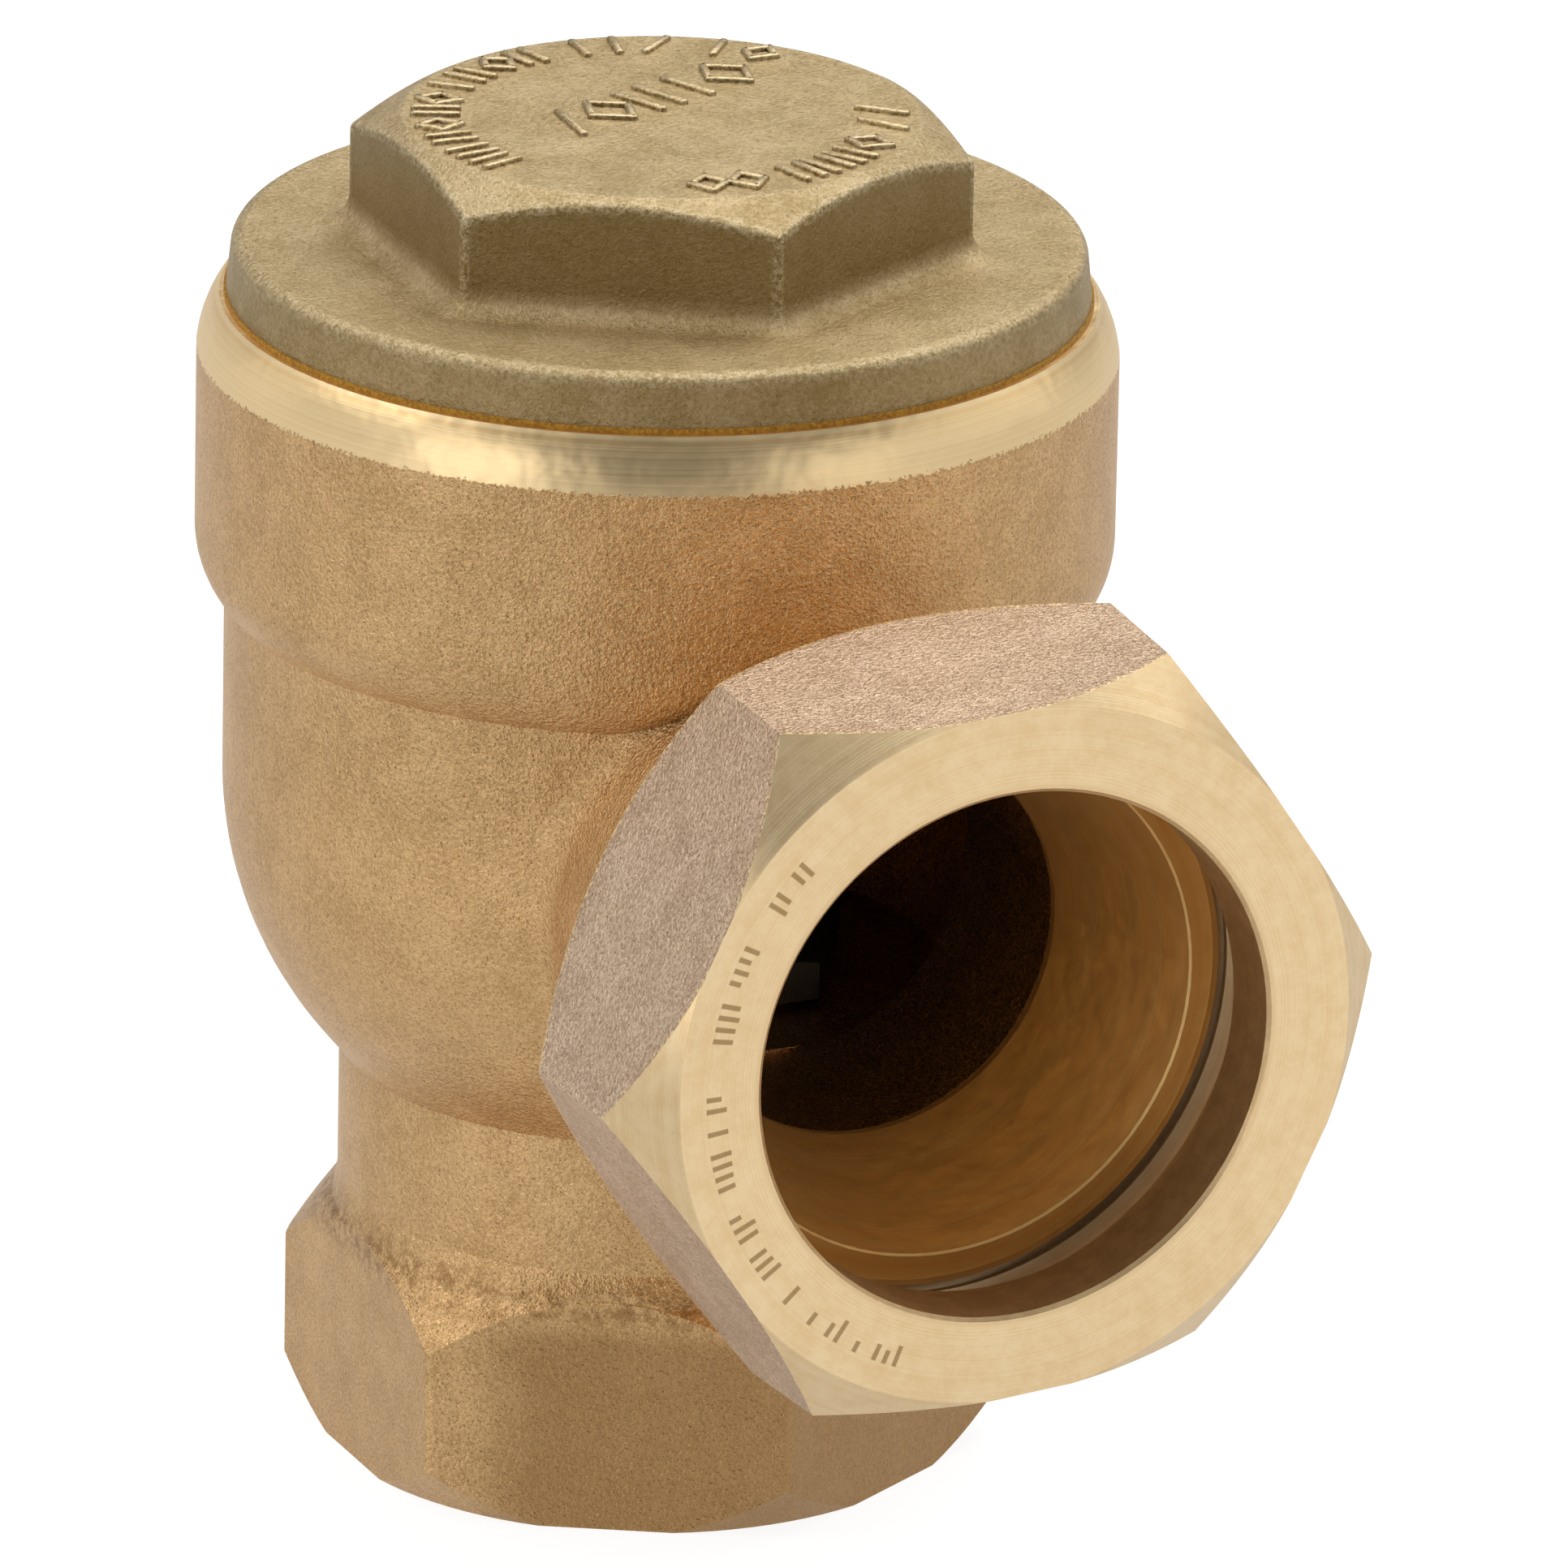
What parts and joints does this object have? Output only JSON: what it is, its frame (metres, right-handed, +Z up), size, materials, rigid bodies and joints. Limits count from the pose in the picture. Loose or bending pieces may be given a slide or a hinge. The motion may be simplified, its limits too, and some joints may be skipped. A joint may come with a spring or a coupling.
{
  "type": "thermostatic steam trap",
  "caption": "Angle-pattern thermostatic trap with a side union inlet, a screwed hexagon cover over a capsule element, and a female threaded outlet below.",
  "frame": {"origin": "centre of the outlet's bottom face, on the body axis", "axes": "+Z up the body axis from the outlet to the cover, -Y out of the union inlet"},
  "size_m": [0.06, 0.0867, 0.0904],
  "materials": {
    "cast_bronze": "sand cast, bevel and seat turned",
    "nut_bronze": "sand cast flats, turned faces",
    "cover_brass": "sand cast, olive",
    "gasket_fibre": "pressed fibre sheet",
    "soft_copper": "annealed copper",
    "valve_steel": "turned stainless",
    "diaphragm_steel": "rolled stainless sheet",
    "element_brass": "turned"
  },
  "bodies": {
    "valve_body": {"trap_body": "cast_bronze", "valve_seat": "valve_steel", "seat_gasket": "soft_copper"},
    "nut": {"union_nut": "nut_bronze"},
    "sealing_ring": {"cover_gasket": "gasket_fibre"},
    "cover_assembly": {"cover": "cover_brass", "element_stem": "element_brass", "charge_pin": "element_brass", "lock_washer": "element_brass", "upper_diaphragm_1": "diaphragm_steel", "stop_disc_1": "element_brass"},
    "capsule_stage_1": {"lower_diaphragm_1": "diaphragm_steel", "capsule_link_1": "element_brass", "upper_diaphragm_2": "diaphragm_steel", "stop_disc_2": "element_brass"},
    "capsule_stage_2": {"lower_diaphragm_2": "diaphragm_steel", "capsule_link_2": "element_brass", "upper_diaphragm_3": "diaphragm_steel", "stop_disc_3": "element_brass"},
    "plug": {"lower_diaphragm_3": "diaphragm_steel", "valve_plug": "valve_steel"}
  },
  "joints": [
    {"name": "union_nut_turn", "type": "hinge", "parent": "valve_body", "child": "nut", "pos_m": [0, -0.048, 0.0454], "axis": [0, -1, 0], "continuous": true},
    {"name": "cover_lift", "type": "slide", "parent": "valve_body", "child": "sealing_ring", "axis": [0, 0, 1], "range_m": [0, 0.00913]},
    {"name": "cover_unscrew", "type": "hinge", "parent": "sealing_ring", "child": "cover_assembly", "pos_m": [0, 0, 0.08], "axis": [0, 0, 1], "range_deg": [0, 2072]},
    {"name": "capsule_1_swell", "type": "slide", "parent": "cover_assembly", "child": "capsule_stage_1", "axis": [0, 0, -1], "range_m": [0, 0.00072], "stiffness_N_per_m": 800},
    {"name": "capsule_2_swell", "type": "slide", "parent": "capsule_stage_1", "child": "capsule_stage_2", "axis": [0, 0, -1], "range_m": [0, 0.00072]},
    {"name": "capsule_3_swell", "type": "slide", "parent": "capsule_stage_2", "child": "plug", "axis": [0, 0, -1], "range_m": [0, 0.00072]}
  ],
  "couplings": [
    {"joint": "cover_unscrew", "follows": "cover_lift", "rad_per_m": 3957.9},
    {"joint": "capsule_2_swell", "follows": "capsule_1_swell", "ratio": 1},
    {"joint": "capsule_3_swell", "follows": "capsule_1_swell", "ratio": 1}
  ]
}
